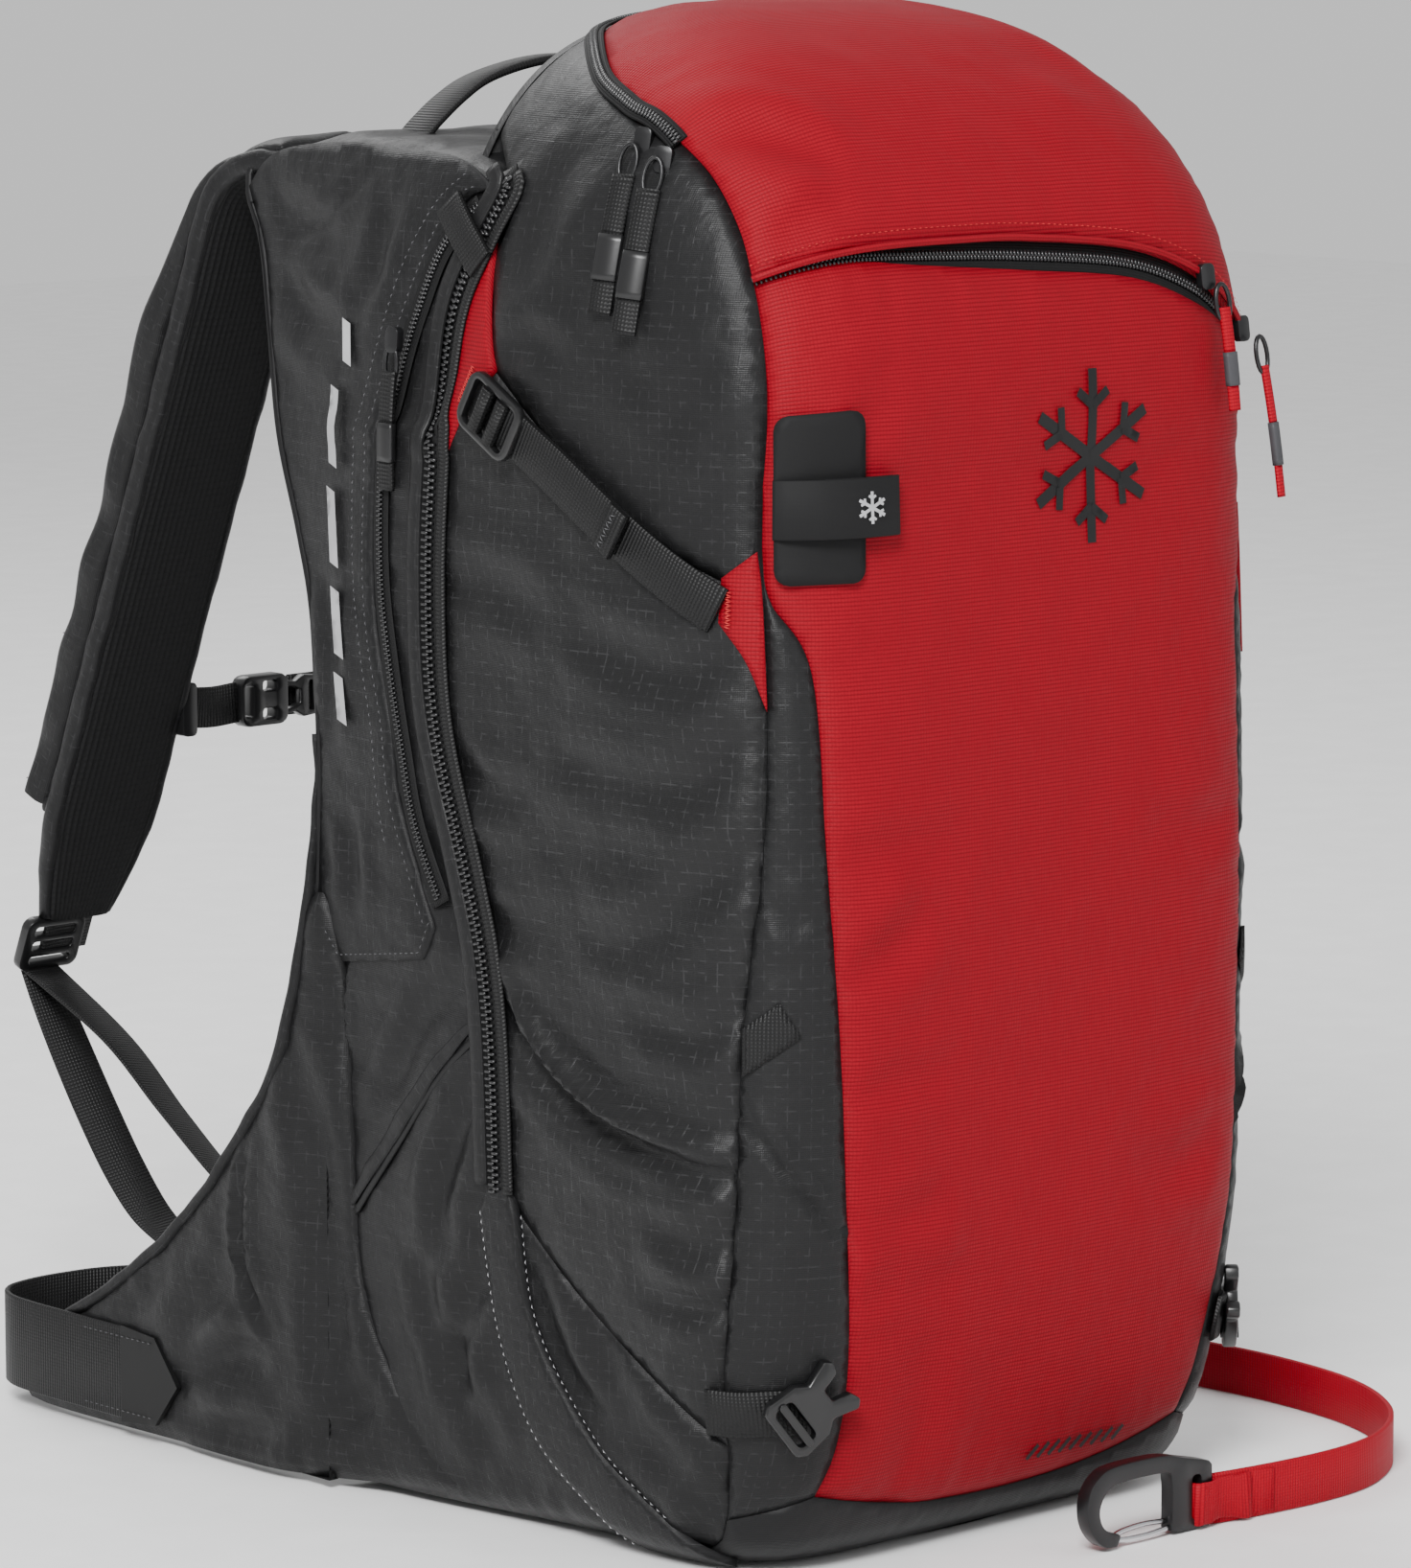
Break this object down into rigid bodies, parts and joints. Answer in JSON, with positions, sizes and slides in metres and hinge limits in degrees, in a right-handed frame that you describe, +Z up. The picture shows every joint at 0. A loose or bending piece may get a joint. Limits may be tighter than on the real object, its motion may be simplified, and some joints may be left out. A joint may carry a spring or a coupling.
{
  "type": "ski backpack",
  "caption": "Zip-on ski pack with an opening lid, on an airbag base unit with padded harness, hip wings, haul loop and red leg loop.",
  "frame": {"origin": "on the floor under the pack, on its mid plane, on the underside of the base panel", "axes": "+Z up, +Y towards the wearer's back, -Y the red outer front, -X the wearer's left"},
  "size_m": [0.4298, 0.5948, 0.641],
  "materials": {
    "red_fabric": "matte woven",
    "charcoal_fabric": "satin ripstop",
    "black_fabric": "matte",
    "zip": "satin coil",
    "webbing": "ribbed webbing",
    "red_webbing": "ribbed webbing",
    "mesh": "spacer mesh",
    "buckle_plastic": "satin moulded",
    "frame_plastic": "smooth sheet",
    "stay_metal": "satin",
    "airbag_fabric": "coated nylon",
    "fan_plastic": "satin",
    "motor_metal": "satin",
    "hook_metal": "black anodised",
    "wire_metal": "polished wire",
    "handle_red": "satin moulded"
  },
  "bodies": {
    "pack": {"base_panel": "black_fabric", "front_panel": "red_fabric", "front_pocket_zip": "zip", "top_panel": "red_fabric", "main_zip_tape": "zip", "booster_zip": "zip", "side_panel_left": "charcoal_fabric", "side_panel_right": "charcoal_fabric", "base_unit_shell": "black_fabric", "divider_panel": "black_fabric", "frame_sheet": "frame_plastic", "frame_stays": "stay_metal", "back_pad": "mesh", "lumbar_pad": "mesh", "airbag_bundle": "airbag_fabric", "fan_housing": "fan_plastic", "fan_motor": "motor_metal", "battery_pack": "fan_plastic", "airbag_flap_left": "black_fabric", "airbag_flap_right": "black_fabric", "side_flap_left": "black_fabric", "side_flap_right": "black_fabric", "yoke": "black_fabric", "shoulder_strap_left": "mesh", "shoulder_strap_right": "mesh", "ladder_lock_left": "buckle_plastic", "ladder_lock_right": "buckle_plastic", "strap_webbing_left": "webbing", "strap_webbing_right": "webbing", "trigger_pouch": "black_fabric", "haul_loop": "webbing", "sternum_clips": "buckle_plastic", "sternum_webbing": "webbing", "sternum_female": "buckle_plastic", "compression_strap_left": "webbing", "compression_strap_right": "webbing", "compression_buckle_left": "buckle_plastic", "compression_buckle_right": "buckle_plastic", "ski_strap_left": "webbing", "ski_strap_right": "webbing", "leg_loop_webbing": "red_webbing", "leg_loop_hook": "hook_metal"},
    "lid": {"lid": "red_fabric"},
    "impeller": {"impeller": "fan_plastic"},
    "trigger": {"trigger_handle": "handle_red"},
    "sternum_release": {"sternum_male": "buckle_plastic"},
    "wing_left": {"hip_wing_left": "black_fabric", "hip_webbing_left": "webbing", "hip_hook_plate": "hook_metal"},
    "wing_right": {"hip_wing_right": "black_fabric", "hip_webbing_right": "webbing", "hip_loop_plate": "hook_metal"},
    "ski_buckle_left": {"ski_buckle_left": "buckle_plastic"},
    "ski_buckle_right": {"ski_buckle_right": "buckle_plastic"},
    "gate": {"hook_gate": "wire_metal"},
    "main_pull_a": {"main_pull_a": "webbing"},
    "main_pull_b": {"main_pull_b": "webbing"},
    "pocket_pull_a": {"pocket_pull_a": "red_webbing"},
    "pocket_pull_b": {"pocket_pull_b": "red_webbing"},
    "airbag_pull": {"airbag_pull": "webbing"}
  },
  "joints": [
    {"name": "lid_hinge", "type": "hinge", "parent": "pack", "child": "lid", "pos_m": [0, -0.097, 0.596], "axis": [1, 0, 0], "range_deg": [0, 100]},
    {"name": "impeller_spin", "type": "hinge", "parent": "pack", "child": "impeller", "pos_m": [0, 0.083, 0.38], "axis": [0, 1, 0], "continuous": true},
    {"name": "trigger_pull", "type": "slide", "parent": "pack", "child": "trigger", "axis": [0, 0.3843, -0.9232], "range_m": [0, 0.025]},
    {"name": "sternum_slide", "type": "slide", "parent": "pack", "child": "sternum_release", "axis": [1, 0, 0], "range_m": [0, 0.018]},
    {"name": "wing_left_swing", "type": "hinge", "parent": "pack", "child": "wing_left", "pos_m": [-0.1555, 0.119, 0.1], "axis": [0, 0, 1], "range_deg": [-3, 30]},
    {"name": "wing_right_swing", "type": "hinge", "parent": "pack", "child": "wing_right", "pos_m": [0.1555, 0.119, 0.1], "axis": [0, 0, -1], "range_deg": [-3, 30]},
    {"name": "ski_buckle_left_tip", "type": "hinge", "parent": "pack", "child": "ski_buckle_left", "pos_m": [-0.14372, -0.1251, 0.075], "axis": [0, 0, -1], "range_deg": [0, 45]},
    {"name": "ski_buckle_right_tip", "type": "hinge", "parent": "pack", "child": "ski_buckle_right", "pos_m": [0.14372, -0.1251, 0.075], "axis": [0, 0, 1], "range_deg": [0, 45]},
    {"name": "gate_spring", "type": "hinge", "parent": "pack", "child": "gate", "pos_m": [0.052, -0.172, 0.0046], "axis": [0, 1, 0], "range_deg": [0, 25], "stiffness_Nm_per_rad": 0.02, "springref_deg": -22.92},
    {"name": "main_pull_a_swing", "type": "hinge", "parent": "pack", "child": "main_pull_a", "pos_m": [-0.141, -0.0525, 0.585], "axis": [0, 1, 0], "range_deg": [0, 120]},
    {"name": "main_pull_b_swing", "type": "hinge", "parent": "pack", "child": "main_pull_b", "pos_m": [-0.141, -0.0685, 0.585], "axis": [0, 1, 0], "range_deg": [0, 120]},
    {"name": "pocket_pull_a_swing", "type": "hinge", "parent": "pack", "child": "pocket_pull_a", "pos_m": [0.107, -0.1498, 0.524], "axis": [-1, 0, 0], "range_deg": [0, 120]},
    {"name": "pocket_pull_b_swing", "type": "hinge", "parent": "pack", "child": "pocket_pull_b", "pos_m": [0.136, -0.1498, 0.502], "axis": [-1, 0, 0], "range_deg": [0, 120]},
    {"name": "airbag_pull_swing", "type": "hinge", "parent": "pack", "child": "airbag_pull", "pos_m": [-0.16, 0.0765, 0.5], "axis": [0, 1, 0], "range_deg": [0, 120]}
  ]
}
